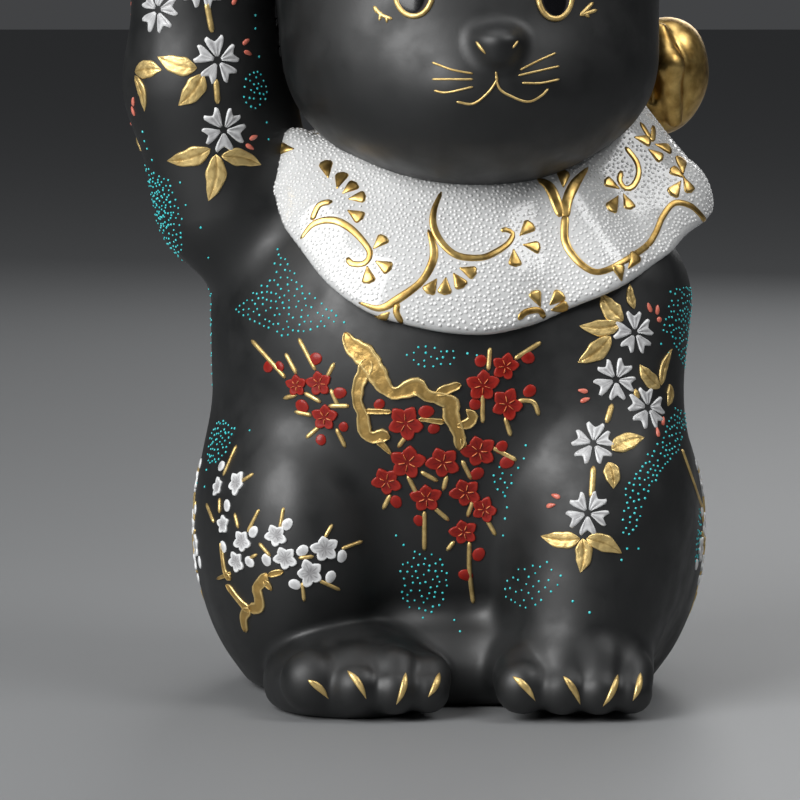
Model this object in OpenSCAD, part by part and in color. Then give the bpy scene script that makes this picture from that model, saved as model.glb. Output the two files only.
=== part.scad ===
// Beckoning cat: a seated cat of black porcelain, slip-cast in parts and luted
// together, with one foreleg raised, a white bib and a gilt bow.
// Millimetres, +Z up. The origin is the middle of the underside. The cat looks
// along -Y, so its right side is at -X.

/* [Figurine] */
// Overall height, from the table to the tips of the ears
figure_height = 250; // [200:5:300]
// Wall of the hollow castings, on a figure 250 high
wall = 4; // [3:0.5:6]
// Turn of the head towards the cat's left, in degrees
head_turn = 7; // [0:1:15]

/* [Base] */
// Radius of the disc that closes the underside
disc_r = 40; // [34:1:41]
// Thickness of the disc
disc_t = 5; // [4:0.5:7]
// Radius of the kiln vent in the disc
vent_r = 7; // [4:0.5:10]

/* [Bib and bow] */
// How far the bib stands off the chest
bib_t = 3.5; // [2.5:0.5:5]
// Radius of the bow's puffed loops
loop_r = 15.7; // [12:0.1:16]

/* [Hidden] */

design_height = 250;
figure_scale = figure_height / design_height;
facets_large = 32;
facets_small = 20;
facets_inner = 20;
glaze_black = [0.13, 0.14, 0.145];
glaze_white = [0.86, 0.87, 0.87];
gilt = [0.80, 0.64, 0.30];
eye_black = [0.02, 0.02, 0.025];
reach = 400; // longer than the figure, for cutting tools

// Torso: a barrel, rounder from side to side than from front to back
torso_low = [-1.4, 5.5, 50];
torso_high = [-2.4, 4, 98];
torso_r = 61;
torso_flat = [1, 0.80, 0.80];
chest = [-4, -12, 84];
chest_r = [50, 38, 44];
seat = [0, 2, 8];
seat_r = [53, 48, 30];
haunch = [37.4, -2, 42];
haunch_r = [30.5, 50, 47];

// Head
cranium = [4.5, -8, 190];
cranium_r = [50.8, 45, 41];
cheeks = [5, -14, 165];
cheeks_r = [49, 44, 31];
muzzle = [4.5, -48, 164];
muzzle_r = [17, 12, 11];
nose = [4.5, -55.5, 174];
nose_r = [9.2, 6.5, 6];
ear_base = [27, -5, 216];
ear_tip = [34, -4, 244];
ear_base_r = 20;
ear_tip_r = 6;
ear_flat = 0.6;
eye = [18, -49, 184.5];
eye_r = [5.8, 4.5, 7];

// Forelegs and paws
elbow = [-58, -4, 129];
forearm = [-66, -8, 160];
wrist = [-65, -12, 222];
beckon = [-64, -26, 232];
elbow_r = 20;
forearm_r = 18;
wrist_r = 17.5;
beckon_r = 15;
wrist_cut = 214;
shoulder = [42, -16, 104];
knee = [38, -36, 54];
ankle = [33, -48, 16];
shoulder_r = 21;
knee_r = 18;
ankle_r = 17.5;
forepaw = [32.5, -53, 12];
forepaw_r = [19.2, 20, 15];
hind_paw = [-26, -48, 10];
hind_paw_r = [24, 25, 16];
far_hind_paw = [38, -34, 8];
far_hind_paw_r = [14, 24, 12];
tail_at = [-8, 47, 22];
tail_r = [15, 17, 15];

// Bib: the stand-off shell of the chest above a slanting round hem
bib_tilt = 20;
bib_hem = [9, 0, 170];
bib_hem_r = [62, 50];
bib_corner = [59.5, -5, 126];
bib_corner_r = 8.5;
bib_fold_up = [-13, 8, 20];
bib_fold_in = [-22, -26, -9];

// Bow, tied behind the cat's left shoulder
knot = [16, 41, 157];
knot_r = [9.5, 8.5, 10];
loop_root_r = 6;
loop_flat = 0.75; // depth of a loop over its height
left_loop_end = [53.5, 20, 161.5];
right_loop_end = [-27, 42, 161.5];
tail_top = [16, 44, 151];
ribbon_end = [13, 7, -34]; // from tail_top to the end of each tail
ribbon_end_r = [8.5, 4, 5];

module ball(at, r, facets = facets_small) {
    translate(at) scale(r) sphere(r = 1, $fn = facets);
}

module limb(a, b, ra, rb, facets = facets_large) {
    hull() {
        translate(a) sphere(r = ra, $fn = facets);
        translate(b) sphere(r = rb, $fn = facets);
    }
}

// A part in its glaze or gilding, at the figure's scale
module part(finish) {
    color(finish) scale(figure_scale) children();
}

// A casting, kept as one closed mesh
module casting(finish) {
    part(finish) resize([0, 0, 0]) children();
}

module above_table() {
    intersection() {
        children();
        translate([-reach / 2, -reach / 2, 0]) cube(reach);
    }
}

// Solid of the body, drawn in by inset for its cavity
module body_solid(inset, facets) {
    hull() {
        ball(torso_low, torso_flat * torso_r - [inset, inset, inset], facets);
        ball(torso_high, torso_flat * torso_r - [inset, inset, inset], facets);
    }
    ball(chest, chest_r - [inset, inset, inset], facets);
    ball(seat, seat_r - [inset, inset, inset], facets);
    for (side = [-1, 1])
        ball([side * haunch[0], haunch[1], haunch[2]], haunch_r - [inset, inset, inset], facets);
}

module turned_head() {
    translate([cranium[0], cranium[1], 0]) rotate([0, 0, head_turn])
        translate([-cranium[0], -cranium[1], 0]) children();
}

module head_solid() {
    turned_head() {
        ball(cranium, cranium_r, facets_large);
        ball(cheeks, cheeks_r, facets_large);
        ball(muzzle, muzzle_r);
        ball(nose, nose_r);
    }
}

// The raised foreleg, drawn in by inset for its cavity
module raised_foreleg_solid(inset = 0, facets = 24) {
    limb(elbow, forearm, elbow_r - inset, forearm_r - inset, facets);
    limb(forearm, wrist, forearm_r - inset, wrist_r - inset, facets);
}

module lowered_foreleg_solid() {
    limb(shoulder, knee, shoulder_r, knee_r, 24);
    limb(knee, ankle, knee_r, ankle_r, 24);
}

module ear(side) {
    casting(glaze_black) difference() {
        turned_head() translate([cranium[0], 0, 0]) hull()
            for (end = [[ear_base, ear_base_r], [ear_tip, ear_tip_r]])
                ball([side * end[0][0], end[0][1], end[0][2]], [1, ear_flat, 1] * end[1]);
        head_solid();
    }
}

module bow_loop(end) {
    casting(gilt) difference() {
        hull() {
            ball(knot, [1, 1, 1] * loop_root_r);
            ball(end, [1, loop_flat, 1] * loop_r, facets_large);
        }
        ball(knot, knot_r);
        head_solid();
        body_solid(0, facets_large);
        bib_solid();
    }
}

module bib_solid() {
    intersection() {
        body_solid(-bib_t, facets_large);
        translate(bib_hem) rotate([bib_tilt, 0, 0]) rotate([90, 0, 0])
            scale([bib_hem_r[0], bib_hem_r[1], 1])
                cylinder(r = 1, h = reach, center = true, $fn = 40);
    }
    hull() {
        translate(bib_corner) sphere(r = bib_corner_r, $fn = facets_small);
        translate(bib_corner + bib_fold_up) sphere(r = bib_corner_r, $fn = facets_small);
        translate(bib_corner + bib_fold_in) sphere(r = bib_corner_r, $fn = facets_small);
    }
}

module eye(side) {
    casting(eye_black) difference() {
        turned_head() ball([cranium[0] + side * eye[0], eye[1], eye[2]], eye_r);
        head_solid();
    }
}

module toe_claws(paw, r, spread) {
    for (i = [-1.5 : 1 : 1.5])
        translate([paw[0] + i * spread, paw[1] - r[1] * (0.95 - 0.05 * i * i), paw[2] - 3])
            rotate([-20, i * -8, 0]) scale([0.9, 1.2, 3.2]) sphere(r = 1, $fn = 8);
}

module base_disc() {
    part(glaze_black) difference() {
        cylinder(r = disc_r, h = disc_t, $fn = 96);
        translate([0, 0, -1]) cylinder(r = vent_r, h = disc_t + 2, $fn = 48);
    }
}

module body_casting() {
    casting(glaze_black) difference() {
        above_table() body_solid(0, facets_large);
        body_solid(wall, facets_inner);
        translate([0, 0, -1]) cylinder(r = disc_r + 0.1, h = disc_t + 5, $fn = 96);
    }
}

module head_casting() {
    casting(glaze_black) difference() {
        head_solid();
        turned_head() ball(cranium, cranium_r - [wall, wall, wall], facets_inner);
        turned_head() ball(cheeks, cheeks_r - [wall, wall, wall], facets_inner);
        body_solid(0, facets_large);
    }
}

module left_ear() { ear(1); }

module right_ear() { ear(-1); }

module raised_foreleg() {
    casting(glaze_black) difference() {
        raised_foreleg_solid();
        raised_foreleg_solid(wall, 16);
        body_solid(0, facets_large);
        head_solid();
        translate([-reach / 2, -reach / 2, wrist_cut]) cube(reach);
    }
}

module raised_paw() {
    casting(glaze_black) difference() {
        union() {
            limb(forearm, wrist, forearm_r, wrist_r, 24);
            limb(wrist, beckon, wrist_r, beckon_r, 24);
        }
        limb(forearm, wrist, forearm_r - wall, wrist_r - wall, 16);
        translate([-reach / 2, -reach / 2, wrist_cut - reach]) cube(reach);
    }
}

module lowered_foreleg() {
    casting(glaze_black) above_table() difference() {
        lowered_foreleg_solid();
        body_solid(0, facets_large);
        ball(forepaw, forepaw_r, 24);
    }
}

module left_forepaw() {
    casting(glaze_black) above_table() difference() {
        ball(forepaw, forepaw_r, 24);
        body_solid(0, facets_large);
    }
}

module right_hind_paw() {
    casting(glaze_black) above_table() difference() {
        ball(hind_paw, hind_paw_r, 24);
        body_solid(0, facets_large);
    }
}

module left_hind_paw() {
    casting(glaze_black) above_table() difference() {
        ball(far_hind_paw, far_hind_paw_r, 20);
        body_solid(0, facets_large);
        lowered_foreleg_solid();
        ball(forepaw, forepaw_r, 24);
    }
}

module tail() {
    casting(glaze_black) above_table() difference() {
        ball(tail_at, tail_r, 24);
        body_solid(0, facets_large);
    }
}

module bib() {
    casting(glaze_white) difference() {
        bib_solid();
        body_solid(0, facets_large);
        head_solid();
        raised_foreleg_solid();
        lowered_foreleg_solid();
        ball(knot, knot_r);
    }
}

module bow_knot() {
    casting(gilt) difference() {
        ball(knot, knot_r);
        head_solid();
        body_solid(0, facets_large);
    }
}

module bow_loop_left() { bow_loop(left_loop_end); }

module bow_loop_right() { bow_loop(right_loop_end); }

module bow_tails() {
    casting(gilt) difference() {
        for (side = [-1, 1]) hull() {
            ball(tail_top, [7, 5, 5]);
            ball(tail_top + [side * ribbon_end[0], ribbon_end[1], ribbon_end[2]], ribbon_end_r);
        }
        ball(knot, knot_r);
        body_solid(0, facets_large);
        bib_solid();
    }
}

module left_eye() { eye(1); }

module right_eye() { eye(-1); }

module gilt_claws() {
    casting(gilt) difference() {
        union() {
            toe_claws(forepaw, forepaw_r, 9);
            toe_claws(hind_paw, hind_paw_r, 10.5);
        }
        ball(forepaw, forepaw_r, 24);
        ball(hind_paw, hind_paw_r, 24);
    }
}

base_disc();
body_casting();
head_casting();
left_ear();
right_ear();
raised_foreleg();
raised_paw();
lowered_foreleg();
left_forepaw();
right_hind_paw();
left_hind_paw();
tail();
bib();
bow_knot();
bow_loop_left();
bow_loop_right();
bow_tails();
left_eye();
right_eye();
gilt_claws();
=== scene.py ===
"""Looks of the beckoning cat: black slip-cast porcelain, a white bib, a gilt bow and raised enamel sprays.

Shapes are signed distance fields in millimetres, meshed as closed skins. The enamel is drawn on a flat
sheet held in front of the cat, beside it or behind it, and each point is carried along a straight line
onto the porcelain.
"""

import math
from concurrent.futures import ThreadPoolExecutor
from itertools import product

import bpy
import numpy as np
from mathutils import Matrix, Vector, kdtree


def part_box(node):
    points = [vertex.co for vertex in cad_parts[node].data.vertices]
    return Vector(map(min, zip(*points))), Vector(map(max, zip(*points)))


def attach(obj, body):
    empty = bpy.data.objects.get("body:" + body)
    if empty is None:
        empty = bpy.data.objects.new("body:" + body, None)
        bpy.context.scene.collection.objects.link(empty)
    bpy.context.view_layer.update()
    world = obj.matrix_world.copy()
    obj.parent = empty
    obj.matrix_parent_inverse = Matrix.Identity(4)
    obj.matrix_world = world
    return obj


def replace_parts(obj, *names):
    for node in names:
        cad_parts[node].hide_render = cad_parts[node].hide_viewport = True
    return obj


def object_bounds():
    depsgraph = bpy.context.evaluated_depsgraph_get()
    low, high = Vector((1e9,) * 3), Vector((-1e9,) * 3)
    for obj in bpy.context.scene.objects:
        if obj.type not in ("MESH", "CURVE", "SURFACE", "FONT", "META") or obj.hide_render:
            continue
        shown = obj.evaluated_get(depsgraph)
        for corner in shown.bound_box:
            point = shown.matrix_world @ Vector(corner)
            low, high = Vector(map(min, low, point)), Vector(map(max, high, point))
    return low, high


MM = 0.001
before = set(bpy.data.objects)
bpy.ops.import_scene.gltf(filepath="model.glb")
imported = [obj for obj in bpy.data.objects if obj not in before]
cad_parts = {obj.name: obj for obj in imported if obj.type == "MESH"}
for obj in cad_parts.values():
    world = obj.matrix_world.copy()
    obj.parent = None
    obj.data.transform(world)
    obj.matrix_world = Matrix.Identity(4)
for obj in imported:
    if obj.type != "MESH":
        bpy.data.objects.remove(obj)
cad_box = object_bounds()
rng = np.random.default_rng(7)

# ---------------------------------------------------------------- design view
VIEW_TARGET = np.array([-13.0, 0.0, 75.6])  # mm, the point that the picture is centred on
VIEW_DISTANCE = 1300.0
VIEW_ELEVATION = 6.0
VIEW_WIDTH = 213.0  # mm across the picture at the target


def node_box(node):
    """A CAD node's middle and half size, in mm."""
    low, high = (np.array(corner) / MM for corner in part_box(node))
    return (low + high) / 2, (high - low) / 2


# ---------------------------------------------------------------- distance fields, on (N, 3) arrays of mm
def turn_matrix(ax, ay, az):
    (sx, sy, sz), (cx, cy, cz) = np.sin(np.radians((ax, ay, az))), np.cos(np.radians((ax, ay, az)))
    about_x = np.array([(1, 0, 0), (0, cx, -sx), (0, sx, cx)])
    about_y = np.array([(cy, 0, sy), (0, 1, 0), (-sy, 0, cy)])
    about_z = np.array([(cz, -sz, 0), (sz, cz, 0), (0, 0, 1)])
    return (about_z @ about_y @ about_x).astype(np.float32)


def ellipsoid(p, centre, radii, turn=None):
    q = p - np.array(centre, np.float32)
    if turn is not None:
        q = q @ turn_matrix(*turn)
    radii = np.array(radii, np.float32)
    q = q / radii
    k0 = np.sqrt(np.einsum("ij,ij->i", q, q)) + 1e-4
    q = q / radii
    return k0 * (k0 - 1) / (np.sqrt(np.einsum("ij,ij->i", q, q)) + 1e-6)


def limb(p, a, b, ra, rb, flat=(1, 1, 1)):
    """A round-ended cone from a to b, flattened along the axes by flat."""
    flat = np.array(flat, np.float32)
    a, b = np.array(a, np.float32) / flat, np.array(b, np.float32) / flat
    q = p / flat - a
    ab = b - a
    along = np.clip(q @ ab / (ab @ ab), 0, 1)
    q = q - along[:, None] * ab
    return (np.sqrt(np.einsum("ij,ij->i", q, q)) - (ra + (rb - ra) * along)) * float(flat.min())


def soft_min(a, b, k):
    h = np.maximum(k - np.abs(a - b), 0) / k
    return np.minimum(a, b) - h * h * k / 4


def soft_max(a, b, k):
    return -soft_min(-a, -b, k)


TORSO_FLAT = (1, 0.80, 0.80)
HEAD_AXIS = np.array([4.5, -8.0, 0.0], np.float32)
HEAD_TURN = 7.0
FLOOR_ROUNDING = 3.0


def trunk(p):
    d = limb(p, (-1.4, 5.5, 50), (-2.4, 4, 98), 60.7, 61.0, TORSO_FLAT)
    return soft_min(d, ellipsoid(p, (-4, -12, 84), (50, 38, 44)), 14)


def upper_foreleg(p):
    return limb(p, (42, -16, 104), (38, -36, 54), 20, 17.5)


def torso(p):
    d = trunk(p)
    for side in (-1, 1):
        d = soft_min(d, ellipsoid(p, (37.4 * side, -2, 42), (30.5, 50, 47)), 6)
    return soft_min(d, ellipsoid(p, (0, 2, 8), (53, 47, 27)), 6)


def on_head(p):
    return (p - HEAD_AXIS) @ turn_matrix(0, 0, HEAD_TURN) + HEAD_AXIS


def head(p):
    q = on_head(p)
    d = ellipsoid(q, (4.5, -8, 190), (50.8, 45, 41))
    d = soft_min(d, ellipsoid(q, (5, -14, 165), (48.5, 44, 31)), 12)
    d = soft_min(d, ellipsoid(q, (4, -34, 151.6), (27, 17, 13.4)), 12)
    d = soft_min(d, ellipsoid(q, (5, -44, 160.5), (19, 13.5, 10.5)), 12)
    for side in (-1, 1):
        d = soft_min(d, ellipsoid(q, (5.5 + 7 * side, -51, 160.5), (8, 6.5, 5.5)), 6)
    d = soft_min(d, ellipsoid(q, (5.5, -46.5, 151.5), (8, 7, 4.5)), 7)
    nose = ellipsoid(q, (5.5, -55, 173), (7.0, 9, 3.9))
    nose = soft_min(nose, ellipsoid(q, (5.5, -56, 168.9), (4.4, 6.8, 3.6)), 6)
    return soft_min(d, nose, 3)


def ear(p, side):
    """A rounded triangle standing on the head, hollowed in front."""
    q = on_head(p)
    x, y, z = (q[:, 0] - HEAD_AXIS[0]) * side, q[:, 1] + 4, q[:, 2]
    corners = np.array([(8, 222), (44, 200), (33.5, 241)], np.float32)
    flat = np.stack([x, z], 1)
    d = np.full(len(p), -1e9, np.float32)
    for a, b in zip(corners, np.roll(corners, -1, axis=0)):
        edge = (b - a) / np.linalg.norm(b - a)
        d = soft_max(d, (flat - a) @ np.array([edge[1], -edge[0]], np.float32), 8)
    thick = 8.5 - 0.13 * (z - 215)
    d = soft_max(d + 3.5, np.abs(y + 0.08 * (z - 215)) - thick, 9) - 4
    hollow = ellipsoid(np.stack([x, y, z], 1), (30, -13.5, 222), (11.5, 9, 17), (0, 10, 0))
    return soft_max(d, -hollow, 3)


def raised_foreleg(p):
    d = limb(p, (-58, -4, 129), (-66, -8, 160), 20, 18)
    d = soft_min(d, limb(p, (-66, -8, 160), (-65, -11, 220), 18, 17.5), 8)
    fuller = limb(p, (-51, 3, 138), (-58, -1, 203), 13, 9.5)  # where it meets the head
    return soft_min(d, fuller, 10)


def raised_paw(p):
    """The beckoning paw: bent forward at the wrist, with its four toes curled over."""
    d = limb(p, (-65, -11, 216), (-64.5, -14, 227), 17.5, 17)
    d = soft_min(d, ellipsoid(p, (-64.5, -25, 230), (18.2, 17, 16)), 7)
    for x, r in ((-76.5, 5.2), (-68.8, 5.8), (-60.4, 5.8), (-52.6, 5.2)):
        d = soft_min(d, limb(p, (x, -33, 236), (x, -37.5, 226), r, r * 0.9), 2.5)
    return d


def lowered_foreleg(p):
    return soft_min(upper_foreleg(p), limb(p, (38, -36, 54), (33, -47, 16), 17.5, 17), 12)


FOREPAW_TOES = (
    (18.4, -69.3, 7.2, 17.5), (28.4, -70, 6.6, 19.8), (37.6, -69.8, 6.2, 19.2), (45.8, -67.3, 5.6, 16.8),
)
HIND_PAW_TOES = (
    (-35.5, -67.3, 8.2, 16.5), (-24, -69.6, 7, 18.6), (-14.4, -69.6, 6.4, 18.2), (-6.2, -66.8, 5.8, 15.8),
)
FAR_PAW_TOES = ((32, -57, 4, 12), (39, -57, 4, 12), (46, -55, 4, 11.5))


def toes(p, d, rows, k=2.2):
    """Sausage toes in front of a paw: x, foremost y, radius and height of each."""
    for x, y, r, top in rows:
        knuckle = limb(p, (x, y + 3.2 * r, top - r - 1), (x, y + 1.7 * r, top - r), r, r)
        tip = limb(p, (x, y + 1.7 * r, top - r), (x, y + r, r + 1.5), r, r)
        d = soft_min(d, soft_min(knuckle, tip, 2), k)
    return d


def left_forepaw(p):
    return toes(p, ellipsoid(p, (32.5, -49, 10), (18.6, 15.5, 12)), FOREPAW_TOES)


def right_hind_paw(p):
    d = ellipsoid(p, (-26, -41, 7), (22.5, 24, 15))
    d = soft_min(d, ellipsoid(p, (-22.5, -50, 8), (20, 13, 10)), 5)
    return toes(p, d, HIND_PAW_TOES)


def left_hind_paw(p):
    return toes(p, ellipsoid(p, (38, -34, 7), (14, 20, 11)), FAR_PAW_TOES)


def tail(p):
    d = ellipsoid(p, (-8, 47, 22), (14, 16, 14.5))
    return soft_min(d, ellipsoid(p, (-2, 44, 14), (13, 12, 11)), 6)


# The castings in luting order: name, field, and how softly each is smoothed onto those before it.
CASTINGS = (
    ("body_casting", torso, 0),
    ("lowered_foreleg", lowered_foreleg, 16),
    ("left_forepaw", left_forepaw, 5),
    ("right_hind_paw", right_hind_paw, 3),
    ("left_hind_paw", left_hind_paw, 3),
    ("tail", tail, 6),
    ("raised_foreleg", raised_foreleg, 10),
    ("raised_paw", raised_paw, 6),
)
HEAD_PARTS = (
    ("head_casting", head, 0),
    ("left_ear", lambda p: ear(p, 1), 6),
    ("right_ear", lambda p: ear(p, -1), 6),
)


def luted(fields, rows):
    d = fields[0]
    for value, (_, _, k) in zip(fields[1:], rows[1:]):
        d = soft_min(d, value, k)
    return d


def porcelain(p):
    """The whole black figure."""
    d = luted([field(p) for _, field, _ in CASTINGS], CASTINGS)
    d = np.minimum(d, luted([field(p) for _, field, _ in HEAD_PARTS], HEAD_PARTS))
    return soft_max(d, -p[:, 2], FLOOR_ROUNDING)


RECESS_CLEARANCE = 3.0  # mm above the disc, where the casting opens into its hollow
RECESS_GAP = 0.15  # mm round the disc


def figure(p):
    """The black figure, with the recess under it that takes the disc."""
    _, half = node_box("base_disc")
    side = np.hypot(p[:, 0], p[:, 1]) - half[0] - RECESS_GAP
    return np.maximum(porcelain(p), -np.maximum(side, p[:, 2] - 2 * half[2] - RECESS_CLEARANCE))


def nearest_casting(p):
    """Which casting each point belongs to, counted through CASTINGS and then HEAD_PARTS."""
    low = np.stack([shape(p) for _, shape, _ in CASTINGS])
    high = np.stack([shape(p) for _, shape, _ in HEAD_PARTS])
    on_head = luted(high, HEAD_PARTS) < luted(low, CASTINGS)
    return np.where(on_head, len(CASTINGS) + np.argmin(high, axis=0), np.argmin(low, axis=0))


# ---------------------------------------------------------------- bib and bow
BIB_STAND_OFF = 3.2
BIB_THICKNESS = 5.0
# Height of the hem round the neck: degrees from the cat's left side, and mm.
HEM = (
    (-215, 146), (-180, 140), (-165, 132.5), (-150, 121.5), (-135, 110), (-120, 102), (-100, 98),
    (-85, 97.2), (-65, 100.5), (-45, 108.5), (-25, 115.5), (-10, 122), (2, 126), (15, 130.5), (35, 138),
    (60, 141), (90, 142), (145, 142),
)
BIB_MIDDLE = (6, -4)


def neck_angle(p):
    return np.arctan2(p[:, 1] - BIB_MIDDLE[1], p[:, 0] - BIB_MIDDLE[0])


def cape(p):
    """The chest and shoulders that the bib drapes over."""
    d = soft_min(trunk(p), upper_foreleg(p), 16)
    shoulders = ellipsoid(p, (4, 4, 126), (50, 34, 25))
    shoulders = soft_min(shoulders, limb(p, (40, 4, 140), (56, -2, 129), 15.5, 9.5), 8)
    shoulders = soft_min(shoulders, limb(p, (-31, -17, 126), (-41, -10, 143.2), 11, 1.8), 4)
    return soft_min(d, shoulders, 12)


def hem_height(p):
    angle = np.degrees(neck_angle(p))
    angle = np.where(angle > 145, angle - 360, angle)
    keys, heights = np.array(HEM).T
    fine = np.arange(keys[0], keys[-1] + 1, 2.5)
    line = np.interp(fine, keys, heights)
    for _ in range(6):
        line[1:-1] = (line[:-2] + 2 * line[1:-1] + line[2:]) / 4
    return np.interp(angle, fine, line)


# Soft folds of the bib: degrees round the neck, half width in degrees, and height in mm
FOLDS = (
    (-62, 9, -1.2), (-47, 8, 1.3), (-30, 8, -1.6), (-6, 11, 2.0), (12, 7, -1.2), (-120, 16, 0.7),
    (60, 10, 0.8), (100, 12, 0.8),
)


def bib(p):
    angle = np.degrees(neck_angle(p))
    depth = np.clip((150 - p[:, 2]) / 30, 0, 1)
    fold = sum(height * np.exp(-(((angle - at) / wide) ** 2)) for at, wide, height in FOLDS) * depth
    outer = cape(p) - BIB_STAND_OFF - fold
    d = soft_max(outer, -(outer + BIB_THICKNESS), 1.0)
    return soft_max(d, (hem_height(p) - p[:, 2]) * 0.8, 3.0)


def bow_knot(p):
    middle, half = node_box("bow_knot")
    d = ellipsoid(p, middle, half * (0.95, 1.0, 0.95))
    for side in (-1, 0, 1):
        a, b = middle + (side * 4 - 2, 9, 10), middle + (side * 3 + 2, 9, -10)
        d = soft_max(d, -limb(p, a, b, 1.0, 1.0), 2)
    return d


KNOT_R = 6.0
LOOP_FLAT = 0.75
LOOP_MIDDLE = {1: (58.2, 19), -1: (-31.5, 42)}  # x and y by side, 1 for the cat's left


def bow_loop(p, side):
    """A puffed ribbon loop: a rolled edge stands up in front of a groove."""
    knot, _ = node_box("bow_knot")
    x, y = LOOP_MIDDLE[side]
    q = (p - (x, y, 161)) * (side, 1, 1)
    ring = np.arctan2(p[:, 2] - 159.5, p[:, 1] - (y + knot[1]) / 2)
    reach = np.clip((p[:, 0] - knot[0]) / (x - knot[0]), 0, 1)
    d = limb(p, knot + (0, 0, 0.5), (x - 5 * side, y + 3, 161.5), KNOT_R, 13.2, (1, LOOP_FLAT, 1))
    d = d + 1.1 * np.cos(7 * ring + 0.8) * reach * (1.2 - reach)
    d = soft_min(d, ellipsoid(q, (0, 0, 0), (11.4, 11.5, 15.7), (0, 10, 0)), 4)
    d = d + 0.08 * np.sin(q[:, 2] * 0.42 + 0.7 * np.sin(q[:, 0] * 0.5)) * np.clip(q[:, 0] / 6, 0, 1)
    groove = limb(q, (2.4, -11.5, 12), (4.8, -12.5, 2), 1.5, 2.0)
    groove = soft_min(groove, limb(q, (4.8, -12.5, 2), (4.6, -9.5, -13), 2.0, 1.4), 1)
    d = soft_max(d, -groove, 2)
    d = soft_max(d, -ellipsoid(q, (-4.4, -12, 2), (2.7, 7, 9.5), (0, -6, 0)), 2.5)
    roll = limb(q, (-1.8, -8, 12.5), (0.6, -12, 3.5), 2, 2.9)
    roll = soft_min(roll, limb(q, (0.6, -12, 3.5), (2, -8.5, -11.5), 2.9, 2), 4)
    return soft_min(d, roll, 1.6)


def bow_tails(p):
    """Two ribbon ends with notched hems, lying on the back."""
    knot, _ = node_box("bow_knot")
    across = np.array([0.966, -0.259], np.float32)
    s = (p[:, :2] - knot[:2].astype(np.float32)) @ across
    drop = knot[2] - p[:, 2]
    under = cape(p) - BIB_STAND_OFF + np.maximum(0, 143 - p[:, 2]) * 0.6
    under = soft_min(torso(p), under, 3)
    d = np.full(len(p), 1e3, np.float32)
    for side in (-1, 1):
        middle = side * (1.5 + 0.36 * drop)
        t = s * side - middle * side
        wide = 3.5 + 0.14 * drop
        ripple = 0.8 * np.cos(t * 0.75) * np.clip(drop / 20, 0, 1)
        strip = soft_max(np.abs(under - 2.0 - ripple) - 1.3, np.abs(t) * 0.94 - wide, 1.6)
        strip = soft_max(strip, (drop - 40) * 0.9 + np.maximum(0, 5 - np.abs(t)) * 1.0, 1.2)
        strip = np.maximum(soft_max(strip, -drop + 2, 2), 12 - p[:, 1])
        d = np.minimum(d, strip)
    return d


# ---------------------------------------------------------------- meshing
CORNERS = list(product((0, 1), repeat=3))
EDGES = [(a, b) for a in CORNERS for b in CORNERS if a < b and sum(abs(x - y) for x, y in zip(a, b)) == 1]


def slope(field, p, step):
    g = np.empty_like(p)
    for axis in range(3):
        nudge = np.zeros(3, np.float32)
        nudge[axis] = step
        g[:, axis] = (field(p + nudge) - field(p - nudge)) / (2 * step)
    return g


BLOCK = 8  # cells along a block of the coarse look


def in_parts(field, points):
    """The field at many points, worked out in parts side by side."""
    parts = np.array_split(points, max(1, len(points) // 60000))
    with ThreadPoolExecutor(4) as pool:
        return np.concatenate(list(pool.map(field, parts)))


def grid_values(field, low, count, cell):
    """The field on a grid, exact only in the blocks that the surface may cross."""
    blocks = -(-count // BLOCK)
    index = np.stack(np.meshgrid(*(np.arange(m) for m in blocks), indexing="ij"), -1).reshape(-1, 3)
    rough = in_parts(field, (low + cell * (index * BLOCK + (BLOCK - 1) / 2)).astype(np.float32))
    near = np.abs(rough) < cell * BLOCK * 1.3
    inner = np.stack(np.meshgrid(*[np.arange(BLOCK)] * 3, indexing="ij"), -1).reshape(-1, 3)
    value = np.repeat(rough[:, None], BLOCK**3, axis=1)
    points = low + cell * (index[near][:, None] * BLOCK + inner)
    value[near] = in_parts(field, points.reshape(-1, 3).astype(np.float32)).reshape(-1, BLOCK**3)
    value = value.reshape(*blocks, BLOCK, BLOCK, BLOCK).transpose(0, 3, 1, 4, 2, 5)
    return value.reshape(blocks * BLOCK)[: count[0], : count[1], : count[2]]


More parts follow.
